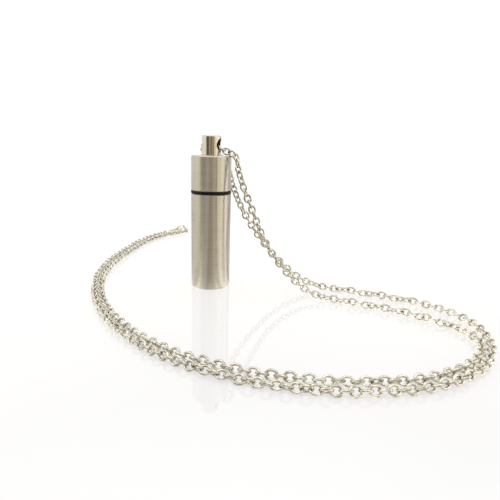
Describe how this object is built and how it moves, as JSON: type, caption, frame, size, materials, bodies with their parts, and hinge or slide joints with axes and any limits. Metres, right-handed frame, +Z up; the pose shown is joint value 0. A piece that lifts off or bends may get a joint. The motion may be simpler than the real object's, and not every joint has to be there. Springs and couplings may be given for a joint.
{
  "type": "keepsake urn pendant on a cable chain necklace",
  "caption": "Round keepsake capsule with a screw-on tube, a pierced knob and a doubled cable chain threaded through it, standing on its base.",
  "frame": {"origin": "centre of the capsule's base, where it stands on the surface", "axes": "+Z up along the capsule, -Y towards the camera, +X to the right, where the chain leaves the knob"},
  "size_m": [0.0871, 0.1228, 0.0381],
  "materials": {
    "capsule_steel": "turned and brushed stainless steel",
    "seal_rubber": "black rubber",
    "chain_steel": "polished stainless steel wire"
  },
  "bodies": {
    "pendant": {"cap": "capsule_steel", "chain": "chain_steel", "clasp": "chain_steel", "clasp_ring": "chain_steel"},
    "seal_ring": {"seal_ring": "seal_rubber"},
    "urn_tube": {"urn_tube": "capsule_steel"}
  },
  "joints": [
    {"name": "unscrew", "type": "hinge", "parent": "pendant", "child": "seal_ring", "pos_m": [0, 0, 0.0244], "axis": [0, 0, -1], "range_deg": [0, 2160]},
    {"name": "draw", "type": "slide", "parent": "seal_ring", "child": "urn_tube", "axis": [0, 0, -1], "range_m": [0, 0.0061]}
  ],
  "couplings": [
    {"joint": "draw", "follows": "unscrew", "m_per_rad": 0.00015915}
  ]
}
